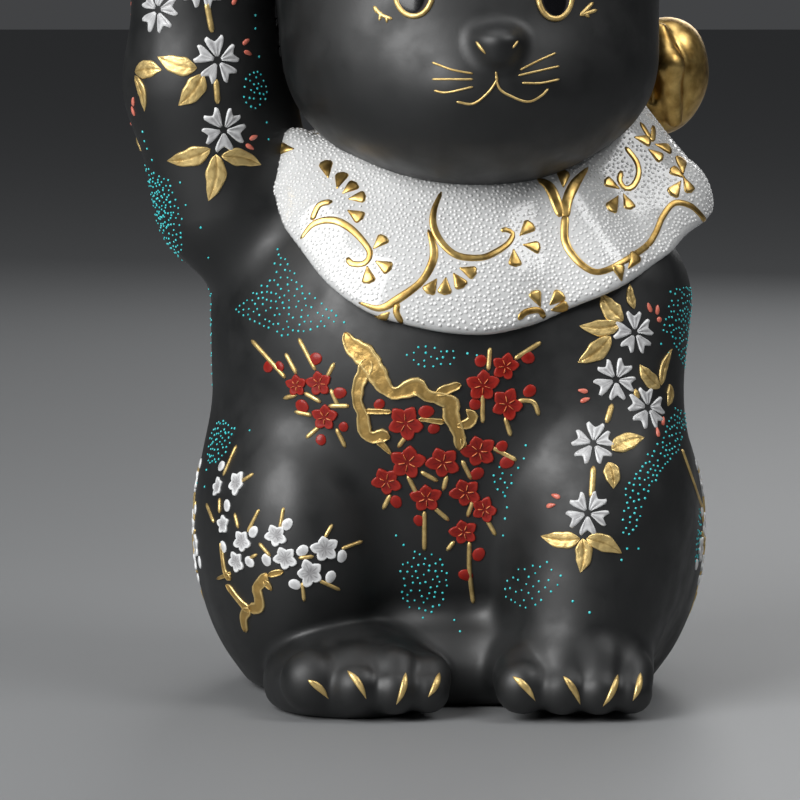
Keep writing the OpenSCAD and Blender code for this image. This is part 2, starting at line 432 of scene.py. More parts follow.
def skin(field, low, high, cell):
    """Surface nets: one vertex in each cell that the surface crosses, then pulled onto the surface."""
    low = np.array(low, np.float32)
    count = np.ceil((np.array(high) - low) / cell).astype(int) + 1
    value = grid_values(field, low, count, cell)
    n = count - 1

    def at(corner):
        return value[tuple(slice(c, c + m) for c, m in zip(corner, n))]

    inside = sum((at(c) < 0).astype(np.int8) for c in CORNERS)
    mixed = (inside > 0) & (inside < 8)
    number = np.full(n, -1)
    number[mixed] = np.arange(mixed.sum())
    total = np.zeros((mixed.sum(), 3), np.float32)
    hits = np.zeros(mixed.sum(), np.float32)
    for a, b in EDGES:
        va, vb = at(a)[mixed], at(b)[mixed]
        cut = (va < 0) != (vb < 0)
        t = va[cut] / (va[cut] - vb[cut])
        total[cut] += np.array(a) + t[:, None] * (np.array(b) - np.array(a))
        hits[cut] += 1
    verts = low + cell * (np.argwhere(mixed) + total / hits[:, None]).astype(np.float32)
    quads = []
    for axis in range(3):
        u, v = (axis + 1) % 3, (axis + 2) % 3
        span = [slice(1, m) for m in n]
        span[axis] = slice(0, n[axis])
        ahead = list(span)
        ahead[axis] = slice(1, n[axis] + 1)
        here, there = value[tuple(span)], value[tuple(ahead)]
        for out_first in (True, False):
            flip = ((here < 0) & (there >= 0)) if out_first else ((here >= 0) & (there < 0))
            cells = np.argwhere(flip) + [0 if k == axis else 1 for k in range(3)]
            ring = []
            for du, dv in ((0, 0), (-1, 0), (-1, -1), (0, -1)):
                c = cells.copy()
                c[:, u] += du
                c[:, v] += dv
                ring.append(number[c[:, 0], c[:, 1], c[:, 2]])
            quads.append(np.stack(ring if out_first else ring[::-1], 1))
    for _ in range(3):
        g = slope(field, verts, cell * 0.15)
        pull = field(verts)[:, None] * g / (np.sum(g * g, axis=1)[:, None] + 1e-6)
        verts = verts - np.clip(pull, -cell / 3, cell / 3).astype(np.float32)
    return verts, np.concatenate(quads)


def shell(verts, normals, quads, wall):
    """A closed shell of some quads of a skin, with corner normals that hide its joints with the rest."""
    used, index = np.unique(quads, return_inverse=True)
    index = index.reshape(quads.shape)
    outer, out = verts[used], normals[used]
    count = len(used)
    edges = np.stack([index, np.roll(index, -1, axis=1)], -1).reshape(-1, 2)
    key = edges[:, 0] * count + edges[:, 1]
    open_edges = edges[~np.isin(key, edges[:, 1] * count + edges[:, 0])]
    a, b = open_edges.T
    walls = np.stack([b, a, a + count, b + count], 1)
    points = np.concatenate([outer, outer - out * wall])
    across = np.cross(points[a] - points[b], points[a + count] - points[b])
    across /= np.linalg.norm(across, axis=1)[:, None] + 1e-9
    back = index[:, ::-1]
    corners = [out[index].reshape(-1, 3), -out[back].reshape(-1, 3), np.repeat(across, 4, axis=0)]
    return points, np.concatenate([index, back + count, walls]), np.concatenate(corners)


def mesh_object(name, verts, faces, material, corners=None):
    """A smooth mesh from points in mm, riding on the only body. corners are its corner normals."""
    mesh = bpy.data.meshes.new(name)
    mesh.from_pydata((np.asarray(verts) * MM).tolist(), [], [list(map(int, f)) for f in faces])
    mesh.shade_smooth()
    if corners is not None:
        mesh.normals_split_custom_set(corners.astype(float).tolist())
    obj = bpy.data.objects.new(name, mesh)
    bpy.context.scene.collection.objects.link(obj)
    mesh.materials.append(material)
    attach(obj, "root")
    return obj


# ---------------------------------------------------------------- materials
COAT_ROUGHNESS = 0.05
NOISE_LOW, NOISE_HIGH = 0.35, 0.65  # the part of a noise that is spread over a range of roughness


class Paint:
    """Builds one node material. Textures are read in object space, in metres."""

    def __init__(self, name, colour, roughness, metallic=0.0, specular=0.5, coat=0.0):
        self.material = bpy.data.materials.new(name)
        self.material.use_nodes = True
        self.material.diffuse_color = (*colour, 1)
        self.tree = self.material.node_tree
        self.shader = self.tree.nodes["Principled BSDF"]
        for key, value in {
            "Base Color": (*colour, 1), "Roughness": roughness, "Metallic": metallic,
            "Specular IOR Level": specular, "Coat Weight": coat, "Coat Roughness": COAT_ROUGHNESS,
        }.items():
            self.shader.inputs[key].default_value = value
        self.coordinates = self.node("TexCoord").outputs["Object"]

    def node(self, kind, links=(), **values):
        """A new node, with its (socket, source) pairs linked and its values set."""
        node = self.tree.nodes.new(f"ShaderNode{kind}")
        for key, source in links:
            self.tree.links.new(source, node.inputs[key])
        for key, value in values.items():
            node.inputs[key].default_value = value
        return node

    def noise(self, size_mm, detail):
        links = [("Vector", self.coordinates)]
        return self.node("TexNoise", links, Scale=1 / (size_mm * MM), Detail=detail).outputs["Fac"]

    def colours(self, value, stops):
        node = self.node("ValToRGB", [("Fac", value)])
        while len(node.color_ramp.elements) < len(stops):
            node.color_ramp.elements.new(0.5)
        for element, (place, colour) in zip(node.color_ramp.elements, stops):
            element.position = place
            element.color = (*colour, 1)
        self.tree.links.new(node.outputs["Color"], self.shader.inputs["Base Color"])

    def rough(self, value, low, high):
        values = {"From Min": NOISE_LOW, "From Max": NOISE_HIGH, "To Min": low, "To Max": high}
        node = self.node("MapRange", [("Value", value)], **values)
        self.tree.links.new(node.outputs["Result"], self.shader.inputs["Roughness"])

    def bump(self, value, depth_mm):
        node = self.node("Bump", [("Height", value)], Distance=depth_mm * MM, Strength=1.0)
        for link in self.shader.inputs["Normal"].links:
            self.tree.links.new(link.from_socket, node.inputs["Normal"])
        self.tree.links.new(node.outputs["Normal"], self.shader.inputs["Normal"])

    def follow_rim(self, tone, share):
        """The tone, with a share of it taken from the rim value stored on the mesh. On the flowers, leaves
        and gilt branches that value is painted light: paler on raised edges and ribs as a painted
        highlight, darker in grooves and folds as painted shade.
        """
        node = self.node("Attribute")
        node.attribute_name = "rim"
        mix = self.tree.nodes.new("ShaderNodeMix")
        mix.inputs[0].default_value = share
        self.tree.links.new(tone, mix.inputs[2])
        self.tree.links.new(node.outputs["Fac"], mix.inputs[3])
        return mix.outputs[0]


def finish(name, colour, roughness, tone, stops, grain, bumps=(), rim=0.0, **shader):
    """A fired finish, from noises (size in mm, detail). tone runs through the colour stops. grain goes on
    with the least and most roughness, and each of bumps with its depth in mm. rim is as in follow_rim."""
    paint = Paint(name, colour, roughness, **shader)
    tone = paint.noise(*tone)
    paint.colours(paint.follow_rim(tone, rim) if rim else tone, stops)
    paint.rough(paint.noise(*grain[:2]), *grain[2:])
    for size, detail, depth_mm in bumps:
        paint.bump(paint.noise(size, detail), depth_mm)
    return paint.material


def gold(name, pale, deep, smooth, dull, depth_mm, **looks):
    """Burnished gold. Where it carries a rim value, the rim is paler: a painted highlight on raised rims,
    with painted shade in the grooves of the leaves.
    """
    bumps = ((1.1, 4, depth_mm), (4.5, 2, depth_mm * 2))
    stops = ((0.32, deep), (0.62, pale))
    return finish(name, pale, dull, (3.5, 6), stops, (2.2, 5, smooth, dull), bumps, **looks)


def plain_enamel(name, low, high):
    return finish(name, high, 0.3, (1.5, 3), ((0.3, low), (0.7, high)), (1.5, 4, 0.2, 0.4), coat=0.2)


BLACK = finish(
    "black_slip", (0.005, 0.0058, 0.006), 0.45, (28, 5),
    ((0.3, (0.0035, 0.0042, 0.0044)), (0.7, (0.0068, 0.0076, 0.0078))),
    (9, 6, 0.44, 0.60), ((0.7, 3, 0.012), (14, 2, 0.08)), specular=0.72,
)
WHITE = finish(
    "white_glaze", (0.70, 0.705, 0.70), 0.12, (20, 4),
    ((0.3, (0.66, 0.665, 0.66)), (0.7, (0.73, 0.735, 0.73))),
    (6, 3, 0.10, 0.22), ((5, 2, 0.05),), coat=0.4,
)
WHITE_DOT = finish(
    "white_dot_enamel", (0.93, 0.93, 0.92), 0.2, (8, 3),
    ((0.3, (0.90, 0.90, 0.89)), (0.7, (0.96, 0.96, 0.95))), (3, 2, 0.14, 0.3), coat=0.3,
)
# gold_leaf, silver_enamel and red_enamel take a share of their tone from the rim value: painted highlight
# on raised edges and rims, painted shade in grooves and folds
GOLD_LEAF = gold(
    "gold_leaf", (0.90, 0.67, 0.28), (0.50, 0.32, 0.10), 0.32, 0.52, 0.13, rim=0.4, metallic=0.75
)
GOLD_LUSTRE = gold(
    "gold_lustre", (0.78, 0.54, 0.19), (0.42, 0.25, 0.07), 0.28, 0.44, 0.02, metallic=1.0
)
SILVER = finish(
    "silver_enamel", (0.6, 0.6, 0.6), 0.3, (1.8, 4),
    ((0.12, (0.14, 0.13, 0.135)), (0.40, (0.52, 0.52, 0.525)), (0.66, (0.88, 0.89, 0.89))),
    (1.5, 4, 0.2, 0.42), ((0.9, 3, 0.05),), rim=0.6, coat=0.3,
)
RED = finish(
    "red_enamel", (0.29, 0.013, 0.008), 0.38, (1.6, 3),
    ((0.1, (0.15, 0.007, 0.005)), (0.5, (0.29, 0.013, 0.008)), (0.85, (0.38, 0.026, 0.015))),
    (1.5, 4, 0.28, 0.48), ((0.9, 3, 0.04),), rim=0.7, specular=0.3, coat=0.1,
)
RED_LINE = plain_enamel("red_line_enamel", (0.60, 0.10, 0.03), (0.85, 0.32, 0.12))
CORAL = plain_enamel("coral_enamel", (0.66, 0.14, 0.09), (0.80, 0.24, 0.17))
TURQUOISE = plain_enamel("turquoise_enamel", (0.03, 0.66, 0.70), (0.12, 0.88, 0.90))
EYE = finish(
    "eye_glaze", (0.004, 0.004, 0.005), 0.14, (4, 2),
    ((0.0, (0.003, 0.003, 0.004)), (0.72, (0.004, 0.004, 0.005)), (0.86, (0.07, 0.06, 0.065))),
    (4, 2, 0.12, 0.2), rim=1.0, specular=0.4, coat=0.15,
)
BISCUIT = finish(
    "biscuit", (0.72, 0.68, 0.62), 0.85, (6, 6), ((0.3, (0.62, 0.58, 0.52)), (0.7, (0.76, 0.73, 0.68))),
    (2, 4, 0.75, 0.95), ((0.5, 3, 0.03),), specular=0.3,
)


# ---------------------------------------------------------------- the drawing sheets
SIGHT_STEPS = 120
SIGHT_SHARE = 0.9  # of the distance to the field, taken in one step
SIGHT_LEAST = 0.02  # mm, the shortest step
SIGHT_TOUCH = 0.01  # mm, near enough to have landed
CAT_NEAR, CAT_FAR = 110.0, 120.0  # mm before and beyond the sheet's middle, where the cat may be


class Sheet:
    """A flat drawing held up to the cat: places on it are mm, u to the right and v up."""

    def __init__(self, field, azimuth=0.0, elevation=0.0, target=(0.0, 0.0, 100.0), distance=1300.0):
        a, e = math.radians(azimuth), math.radians(elevation)
        self.field = field
        self.ahead = np.array([-math.sin(a) * math.cos(e), math.cos(a) * math.cos(e), -math.sin(e)])
        self.right = np.array([math.cos(a), math.sin(a), 0.0])
        self.up = np.cross(self.right, self.ahead)
        self.middle = np.array(target, float)
        self.eye = self.middle - self.ahead * distance
        self.distance = distance

    def carry(self, uv):
        """Where places of the sheet land on the field, and how far off the ones that miss it pass."""
        uv = np.asarray(uv, float)
        u, v = uv[:, :1] - self.middle @ self.right, uv[:, 1:2] - self.middle[2]
        way = self.middle + u * self.right + v * self.up - self.eye
        way /= np.linalg.norm(way, axis=1)[:, None]
        t = np.full(len(uv), self.distance - CAT_NEAR)
        best, best_t = np.full(len(uv), 1e9), t.copy()
        active = np.arange(len(uv))
        for _ in range(SIGHT_STEPS):
            d = self.field((self.eye + way[active] * t[active, None]).astype(np.float32))
            nearer = d < best[active]
            best[active[nearer]], best_t[active[nearer]] = d[nearer], t[active[nearer]]
            t[active] += np.maximum(d, SIGHT_LEAST) * SIGHT_SHARE
            active = active[(d > SIGHT_TOUCH) & (t[active] < self.distance + CAT_FAR)]
            if not len(active):
                break
        p, n = settle(self.field, self.eye + way * best_t[:, None])
        return p, n, best


def settle(field, p):
    """The points of the field's surface nearest to p, and the outward directions there."""
    p = np.asarray(p, np.float32)
    for _ in range(4):
        g = slope(field, p, 0.3)
        p = p - (field(p)[:, None] * g / (np.sum(g * g, axis=1)[:, None] + 1e-6)).astype(np.float32)
    g = slope(field, p, 0.3)
    return p, g / (np.linalg.norm(g, axis=1)[:, None] + 1e-9)


SINK = -0.3  # how deep the edge of an enamel patch is bedded, mm
MISS = 4.0  # a patch whose place passes further than this from the porcelain is left out, mm


class Enamel:
    """Gathers patches of one finish drawn on one sheet, and lays them on the porcelain."""

    def __init__(self, sheet):
        self.sheet = sheet
        self.patches = []

    def add(self, places, shape):
        self.patches.append((np.asarray(places, float).reshape(-1, 2), shape))

    def lay(self):
        """Points in mm, faces and rim values of every patch that lands."""
        p, n, miss = self.sheet.carry(np.concatenate([places for places, _ in self.patches]))
        verts, heights, rims, faces, start, count = [], [], [], [], 0, 0
        for places, shape in self.patches:
            rows = slice(start, start + len(places))
            start += len(places)
            if miss[rows].max() > MISS:
                continue
            v, height, rim, f = shape(p[rows], n[rows])
            verts.append(v)
            heights.append(height)
            rims.append(rim)
            faces += [[i + count for i in face] for face in f]
            count += len(v)
        v, g = settle(self.sheet.field, np.concatenate(verts))
        return v + g * np.concatenate(heights)[:, None], faces, np.concatenate(rims)


def closed_grid(rows, columns):
    """Faces of a patch of rows and columns, with its underside and ends."""
    index = np.arange(rows * columns).reshape(rows, columns)
    faces = [
        (index[i, j], index[i + 1, j], index[i + 1, j + 1], index[i, j + 1])
        for i in range(rows - 1)
        for j in range(columns - 1)
    ]
    faces += [(index[i, 0], index[i, -1], index[i + 1, -1], index[i + 1, 0]) for i in range(rows - 1)]
    return faces + [list(index[0]), list(index[-1, ::-1])]


def unit(v):
    return v / (np.linalg.norm(v, axis=-1, keepdims=True) + 1e-9)


def strip(half, height, rim):
    """A patch along a line, whose rows are half wide at each side."""
    s = np.linspace(-1, 1, height.shape[1])
    faces = closed_grid(*height.shape)

    def shape(p, n):
        side = unit(np.cross(n, unit(np.gradient(p, axis=0))))
        points = p[:, None] + side[:, None] * (s[:, None] * half[:, None, None])
        return points.reshape(-1, 3), height.ravel(), rim.ravel(), faces

    return shape


def curve_through(points, step):
    """A smooth line through given points. A third column is carried along."""
    points = np.array(points, float)
    if len(points) == 2:
        count = int(np.linalg.norm(points[1, :2] - points[0, :2]) / step) + 1
        t = np.linspace(0, 1, max(4, count))[:, None]
        return points[0] * (1 - t) + points[1] * t
    padded = np.vstack([2 * points[0] - points[1], points, 2 * points[-1] - points[-2]])
    out = []
    for i in range(1, len(padded) - 2):
        a, b, c, d = padded[i - 1 : i + 3]
        t = np.arange(max(2, int(np.linalg.norm((c - b)[:2]) / step)))[:, None]
        t = t / len(t)
        square, cube = 2 * a - 5 * b + 4 * c - d, 3 * b - a - 3 * c + d
        out.append(0.5 * (2 * b + (c - a) * t + square * t**2 + cube * t**3))
    return np.vstack([*out, padded[-2][None]])


def stroke(enamel, points, width=None, tall=0.45, knobbly=0.0, taper=(0.35, 0.2), across=7):
    """A line of enamel through (u, v) or (u, v, width). Its ends narrow to taper times the width.
    A knobbly one is flat and has a raised rim."""
    rows = [(*q[:2], q[2] if len(q) > 2 else width) for q in points]
    line = curve_through(rows, max(0.35, min(0.8, 0.4 * np.mean([r[2] for r in rows]))))
    wide = line[:, 2].copy()
    run = np.concatenate([[0], np.cumsum(np.linalg.norm(np.diff(line[:, :2], axis=0), axis=1))])
    for place, end in ((run, taper[0]), (run[-1] - run, taper[1])):
        near = np.clip(place / np.maximum(wide * 0.7, 0.3), 0, 1)
        wide *= end + (1 - end) * np.sqrt(near * (2 - near))
    s = np.abs(np.linspace(-1, 1, across))
    if knobbly:
        wide *= 1 + knobbly * np.sin(run * 1.3 + rng.uniform(0, 6)) * np.sin(run * 0.57 + rng.uniform(0, 6))
        wave = 0.12 * np.sin(run * 1.7 + rng.uniform(0, 6))[:, None] * (1 - s)
        height = tall * (0.62 + wave + 0.38 * np.exp(-(((s - 0.78) / 0.16) ** 2)))
        # painted highlight: the raised rim of a knobbly stroke gets a high rim value, so it is paler
        rim = np.exp(-(((s - 0.85) / 0.2) ** 2)) + 0 * height
    else:
        height = tall * np.sqrt(1 - s**2) * np.clip(wide / wide.max(), 0.4, 1)[:, None]
        rim = 0.55 + 0 * height
    enamel.add(line[:, :2], strip(wide / 2, np.where(s == 1, SINK, height), rim))


def pointed(t):
    """The half width of a leaf that is widest near its base and pointed at its tip."""
    rise, fall = np.minimum(t / 0.4, 1), np.clip((t - 0.4) / 0.6, 0, 1)
    return np.sin(np.pi / 2 * rise) ** 0.7 * np.cos(np.pi / 2 * fall) ** 0.9


def leaf(enamel, base, tip, width, tall=0.5, veins=True, rows=21, across=13, profile=pointed, bend=0.07):
    """A leaf, grooved along its midrib and side veins. profile gives its half width along its length."""
    base, tip = np.array(base, float), np.array(tip, float)
    ahead = tip - base
    t = np.linspace(0, 1, rows)
    bow = (bend * np.sin(np.pi * t))[:, None] * np.array([-ahead[1], ahead[0]])
    places = base + t[:, None] * ahead + bow
    share = profile(t)
    half = width / 2 * share + 0.03
    t = t[:, None]
    s = np.abs(np.linspace(-1, 1, across))[None]
    if veins:
        half = half * (1 + 0.06 * np.sin(t[:, 0] * 15 + rng.uniform(0, 6)))
        side_rib = np.exp(-((np.sin(np.pi * (t * 4.5 - s * 0.9)) / 0.3) ** 2))
        rib = np.exp(-((s / 0.12) ** 2)) + 0.6 * side_rib * (s < 0.85)
        height = tall * np.clip(share * 1.8, 0.3, 1)[:, None]
        height = height * (0.85 - 0.35 * rib * (1 - s**6) + 0.2 * s**4)
        # painted shade and highlight: the rim value is darker along the grooved midrib and veins, paler at
        # the raised edges
        rim = np.clip(0.75 - 0.6 * rib + 0.3 * s**4, 0, 1)
    else:
        height = tall * np.sqrt(1 - s**2) * np.clip(share * 1.6, 0.25, 1)[:, None]
        rim = 0.6 + 0 * height
    enamel.add(places, strip(half, np.where(s == 1, SINK, height), rim))


def wedge(t):
    """The half width of a petal that starts at a point and ends broad."""
    return np.minimum(t * 1.25 + 0.08, 1) * np.sqrt(np.clip((1 - t) * 7, 0, 1))


def local(x, y, height, rim, faces):
    """A patch drawn with x and y in mm on the porcelain round its one place."""
    x, y, height, rim = (np.broadcast_to(a, np.shape(height)).ravel() for a in (x, y, height, rim))

    def shape(p, n):
        ex = unit(np.cross((0, 0, 1), n[0]))
        return p[0] + x[:, None] * ex + y[:, None] * np.cross(n[0], ex), height, rim, faces

    return shape


def cherry_blossom(enamel, centre, radius, turn):
    """Five separate petals, each a long V with two pointed lobes."""
    turn = math.radians(turn)
    t = np.linspace(0, 1, 9)[:, None]
    s = np.linspace(-1, 1, 13)[None]
    for k in range(5):
        angle = turn + 2 * np.pi * k / 5 + rng.normal(0, 0.06)
        reach = radius * rng.uniform(0.92, 1.06)
        notch, fall = np.clip(np.abs(s) / 0.68, 0, 1), np.clip((np.abs(s) - 0.68) / 0.32, 0, 1)
        tip = 0.77 + 0.24 * notch**1.2 - 0.17 * fall**1.6
        a = reach * (0.11 + t * (tip - 0.11))
        b = s * reach * rng.uniform(0.42, 0.47) * (0.10 + 0.85 * t) * (1 + 0.17 * np.sin(np.pi * t))
        edge = np.maximum(np.abs(s) ** 5, t**7)
        vein = np.exp(-((s / 0.12) ** 2)) * (1 - t**2)
        fold = 0.5 + 0.5 * np.cos(2 * np.pi * (np.abs(s) - 0.5) / 0.8 + angle)
        height = 0.34 + 0.24 * edge + 0.12 * vein - 0.10 * fold * (1 - edge)
        height = np.where((np.abs(s) == 1) | (t == 1) | (t == 0), SINK, height)
        x, y = a * math.cos(angle) - b * math.sin(angle), a * math.sin(angle) + b * math.cos(angle)
        # painted highlight and shade: the rim value is paler on the raised edges and vein, darker in the
        # sunken folds
        rim = np.clip(0.40 + 0.6 * edge + 0.35 * vein - 0.25 * fold, 0, 1)
        enamel.add(centre, local(x, y, height, rim, closed_grid(9, 13)))


def disc_patch(enamel, centre, x, y, height, rim):
    """A patch of rings, from the first row at its middle to the last at its edge."""
    rings, n = np.broadcast_shapes(np.shape(x), np.shape(height))
    x, y, height, rim = (np.broadcast_to(a, (rings, n)) for a in (x, y, height, rim))
    flat = [np.append(a[1:].ravel(), a[0].mean()) for a in (x, y, height, rim)]
    faces = []
    for i in range(rings - 2):
        for j in range(n):
            a, b = i * n + j, i * n + (j + 1) % n
            faces.append((a, a + n, b + n, b))
    middle, last = (rings - 1) * n, (rings - 2) * n
    faces += [(middle, j, (j + 1) % n) for j in range(n)]
    faces.append([last + j for j in reversed(range(n))])
    enamel.add(centre, local(*flat, faces))


RINGS = np.array([0.0, 0.25, 0.5, 0.72, 0.88, 0.97, 1.0])[:, None]
ROUND = np.linspace(0, 2 * np.pi, 40, endpoint=False)


PLUM_HEIGHT, BUD_HEIGHT = 0.6, 0.5  # mm


def plum_blossom(enamel, centre, radius, turn=None):
    """Five round petals joined in the middle."""
    turn = rng.uniform(0, 2 * np.pi) if turn is None else math.radians(turn)
    lobe = np.abs(np.cos(2.5 * ROUND))
    uneven = 1 + 0.06 * np.sin(ROUND * 2 + turn * 5) + 0.04 * np.sin(ROUND * 3 + turn)
    uneven += 0.02 * np.sin(ROUND * 11 + turn)
    r = RINGS * radius * (0.68 + 0.26 * lobe**0.8 + 0.10 * lobe**9) * uneven
    edge = np.exp(-(((RINGS - 0.9) / 0.12) ** 2))
    streak = np.exp(-(((lobe - 1) / 0.02) ** 2)) * np.exp(-(((RINGS - 0.4) / 0.22) ** 2))
    height = PLUM_HEIGHT * (0.72 + 0.28 * edge) * (1 - 0.40 * (1 - lobe) * RINGS) - 0.2 * (1 - RINGS) ** 2
    height = np.where(RINGS == 1.0, SINK, height)
    # painted highlight and shade: the rim value is paler outward and on the raised edge band, darker in the
    # sunken middle and the dips between petals
    rim = np.clip(0.30 + 0.35 * RINGS + 0.45 * edge - 0.5 * streak - 0.35 * (1 - lobe) * (1 - edge), 0, 1)
    disc_patch(enamel, centre, r * np.cos(ROUND + turn), r * np.sin(ROUND + turn), height, rim)


def bud(enamel, centre, radius, long=1.25, angle=None):
    """A small rounded dab."""
    angle = rng.uniform(0, np.pi) if angle is None else math.radians(angle)
    c, s = math.cos(angle), math.sin(angle)
    around = ROUND[::3]
    egg = 1 - 0.28 * np.cos(around) * (long > 1.3) + 0.05 * np.sin(around * 3 + angle * 9)
    x, y = RINGS * radius * long * np.cos(around), RINGS * radius * egg * np.sin(around)
    height = np.where(RINGS == 1.0, SINK, BUD_HEIGHT * np.sqrt(1 - RINGS**2 * 0.9))
    disc_patch(enamel, centre, x * c - y * s, x * s + y * c, height, 0.35 + 0.6 * RINGS**2)


def domes(p, g, radius, tall):
    """Domes on the surface points p, whose outward directions are g, as ready points and faces."""
    sides = 6
    sizes = radius * rng.uniform(0.8, 1.15, len(p))[:, None]
    helper = np.where(np.abs(g[:, 2:3]) < 0.9, [[0, 0, 1.0]], [[1.0, 0, 0]])
    x = unit(np.cross(helper, g))
    y = np.cross(g, x)
    rings = []
    for spread, lift in ((1.0, -0.35), (0.82, 0.72)):
        for a in np.linspace(0, 2 * np.pi, sides, endpoint=False):
            rings.append(p + (x * math.cos(a) + y * math.sin(a)) * sizes * spread + g * tall * lift)
    verts = np.stack([*rings, p + g * tall], 1)
    faces = [list(reversed(range(sides)))]
    for i in range(sides):
        j = (i + 1) % sides
        faces += [(i, j, sides + j, sides + i), (sides + i, sides + j, 2 * sides)]
    per = 2 * sides + 1
    return verts.reshape(-1, 3), [[k + m * per for k in f] for m in range(len(p)) for f in faces]


def oval(centre, radii, turn=0.0):
    """A ring of corners."""
    c, s = math.cos(math.radians(turn)), math.sin(math.radians(turn))
    around = np.linspace(0, 2 * math.pi, 15)[:-1]
    ring = [(radii[0] * math.cos(a), radii[1] * math.sin(a)) for a in around]
    return [(centre[0] + x * c - y * s, centre[1] + x * s + y * c) for x, y in ring]


def thin(places, spacing):
    """Which of the places in mm are kept so that none is nearer than spacing to another."""
    grid, kept = {}, []
    steps = list(product((-1, 0, 1), repeat=places.shape[1]))
    for index, q in enumerate(places.tolist()):
        cell = [int(x // spacing) for x in q]
        near = [r for step in steps for r in grid.get(tuple(map(sum, zip(cell, step))), ())]
        if all(sum((a - b) ** 2 for a, b in zip(q, r)) > spacing**2 for r in near):
            grid.setdefault(tuple(cell), []).append(q)
            kept.append(index)
    return kept


PATCH_SPACING = 0.5  # mm
PATCH_TRIES = 6  # places tried for each one that there is room for


def patch(corners):
    """A close scatter of places in a polygon."""
    ring = np.array(corners, float)
    low, high = ring.min(0), ring.max(0)
    area = (high[0] - low[0]) * (high[1] - low[1])
    places = rng.uniform(low, high, (int(area / PATCH_SPACING**2 * PATCH_TRIES), 2))
    u, v = places.T
    inside = np.zeros(len(places), bool)
    for (a, b), (c, d) in zip(ring, np.roll(ring, -1, axis=0)):
        if b != d:
            inside ^= ((b > v) != (d > v)) & (u < a + (c - a) * (v - b) / (d - b))
    places = places[inside]
    return places[thin(places, PATCH_SPACING)]


def enamel_object(name, material, enamels=(), ready=()):
    """One object from gathered enamels and from ready (points, faces) pairs."""
    verts, faces, rims, count = [], [], [], 0
    for v, f, r in [e.lay() for e in enamels if e.patches] + [(v, f, np.ones(len(v))) for v, f in ready]:
        verts.append(v)
        rims.append(r)
        faces += [[i + count for i in face] for face in f]
        count += len(v)
    obj = mesh_object(name, np.concatenate(verts), faces, material)
    # rim values: painted highlight on raised edges and painted shade in grooves and folds of the enamel
    rim = obj.data.attributes.new("rim", "FLOAT", "POINT")
    rim.data.foreach_set("value", np.concatenate(rims).astype(np.float32))
    return obj


# ---------------------------------------------------------------- the porcelain
FIGURE_CELL = 0.9  # mm between the points of the figure's skin
WALLS = {"left_ear": 2.4, "right_ear": 2.4, "left_hind_paw": 2.5}  # mm, where it isn't the usual wall
USUAL_WALL = 3.5

low, high = (np.array(corner) / MM for corner in cad_box)
skin_points, skin_quads = skin(figure, low - (6, 4, 3), high + (4, 4, 3), FIGURE_CELL)
_, disc_half = node_box("base_disc")
middles = skin_points[skin_quads].mean(axis=1)
above_disc = middles[:, 2] - 2 * disc_half[2]
in_recess = (np.hypot(middles[:, 0], middles[:, 1]) < disc_half[0] + 1) & (
    (above_disc > RECESS_CLEARANCE / 2) & (above_disc < RECESS_CLEARANCE + 1)
)
skin_quads, middles = skin_quads[~in_recess], middles[~in_recess]
skin_normals = slope(porcelain, skin_points, 0.4)
skin_normals /= np.linalg.norm(skin_normals, axis=1)[:, None] + 1e-9
labels = nearest_casting(middles)
for index, (name, _, _) in enumerate((*CASTINGS, *HEAD_PARTS)):
    quads = skin_quads[labels == index]
    verts, faces, corners = shell(skin_points, skin_normals, quads, WALLS.get(name, USUAL_WALL))
    piece = mesh_object(f"{name}_porcelain", verts, faces, BLACK, corners)
    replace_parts(piece, name)

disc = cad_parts["base_disc"]
disc.data.materials.clear()
disc.data.materials.append(BISCUIT)

BIB_CELL, BOW_CELL = 1.1, 0.7  # mm
bib_verts, bib_faces = skin(bib, (-60, -75, 88), (80, 62, 172), BIB_CELL)
bib_piece = mesh_object("bib_porcelain", bib_verts, bib_faces, WHITE)
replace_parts(bib_piece, "bib")

for name, field, low, high in (
    ("bow_knot", bow_knot, (2, 28, 143), (30, 54, 171)),
    ("bow_loop_left", lambda p: bow_loop(p, 1), (8, -3, 142), (74, 52, 181)),
    ("bow_loop_right", lambda p: bow_loop(p, -1), (-47, 20, 142), (24, 58, 181)),
    ("bow_tails", bow_tails, (-14, 20, 112), (46, 66, 160)),
):
    verts, faces = skin(field, low, high, BOW_CELL)
    piece = mesh_object(f"{name}_gilt", verts, faces, GOLD_LUSTRE)
    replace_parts(piece, name)

# ---------------------------------------------------------------- the painted sprays
front = dict(elevation=VIEW_ELEVATION, target=VIEW_TARGET, distance=VIEW_DISTANCE)
on_black = Sheet(porcelain, **front)
on_bib = Sheet(bib, **front)
gold_leaf, gold_claw, silver, red, red_line, coral = (Enamel(on_black) for _ in range(6))


def leaves(enamel, rows):
    for base, tip, width in rows:
        leaf(enamel, base, tip, width)


def twigs(enamel, rows, width=1.6):
    for points in rows:
        stroke(enamel, points, width, tall=0.45, taper=(0.45, 0.5), across=5)


def coral_buds(rows):
    for u, v, angle in rows:
        bud(coral, (u, v), 0.75 if angle == 0 else 0.62, 1.1 if angle == 0 else 2.2, angle)


